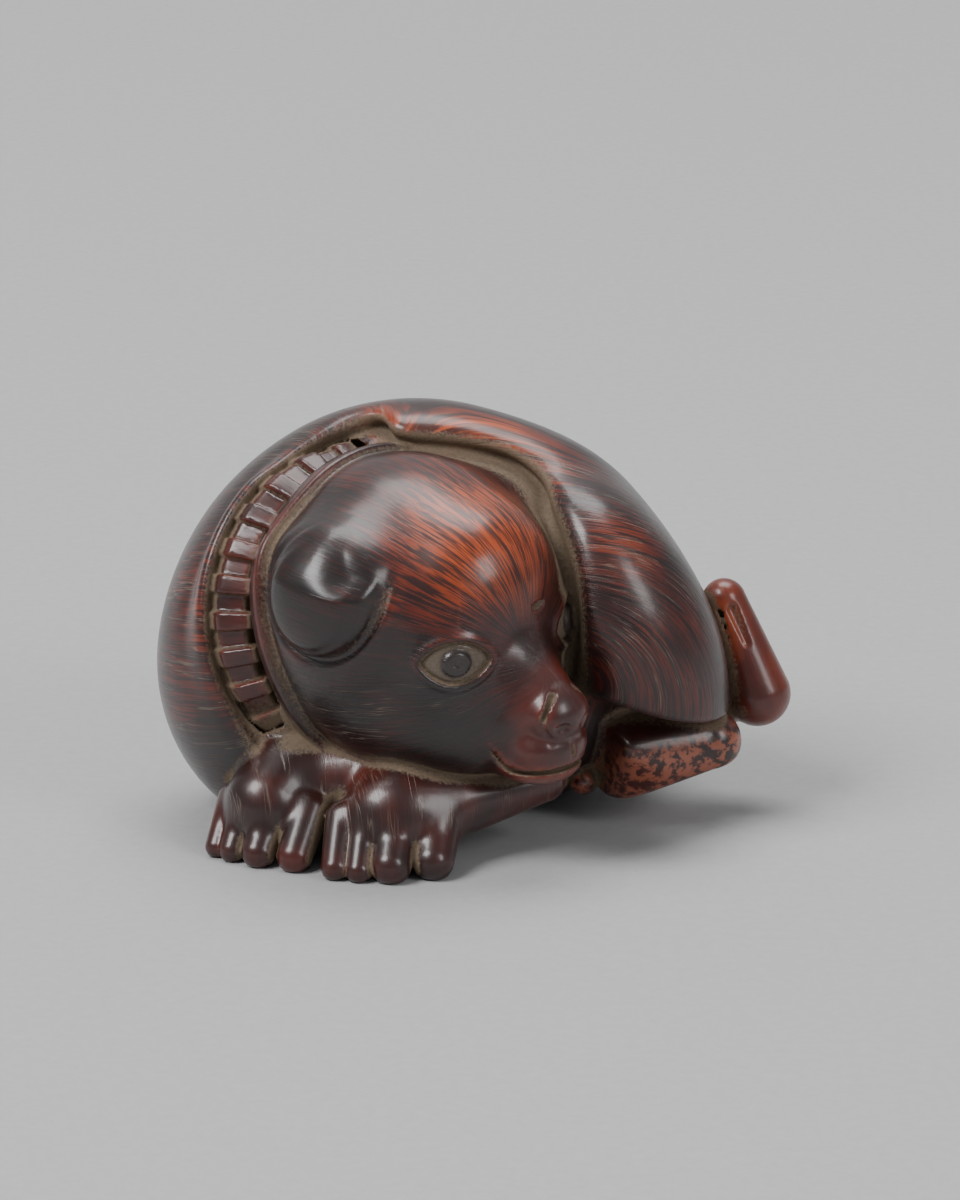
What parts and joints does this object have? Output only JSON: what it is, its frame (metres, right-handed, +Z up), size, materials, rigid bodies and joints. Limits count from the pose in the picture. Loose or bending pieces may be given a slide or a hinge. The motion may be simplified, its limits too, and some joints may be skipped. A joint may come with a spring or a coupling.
{
  "type": "netsuke",
  "caption": "Curled puppy netsuke with a pleated collar, carved from one piece of stained wood, with two cord openings in its underside.",
  "frame": {"origin": "centre of the bounding box at its base, where the piece rests", "axes": "+X from the curled trunk towards the tail, +Y towards the back, +Z up; the face looks out between +X and -Y"},
  "size_m": [0.0426, 0.0286, 0.0276],
  "materials": {
    "wood": "red-brown stained and polished, worn to orange-red on the high places"
  },
  "bodies": {
    "root": {"netsuke": "wood"}
  },
  "joints": []
}
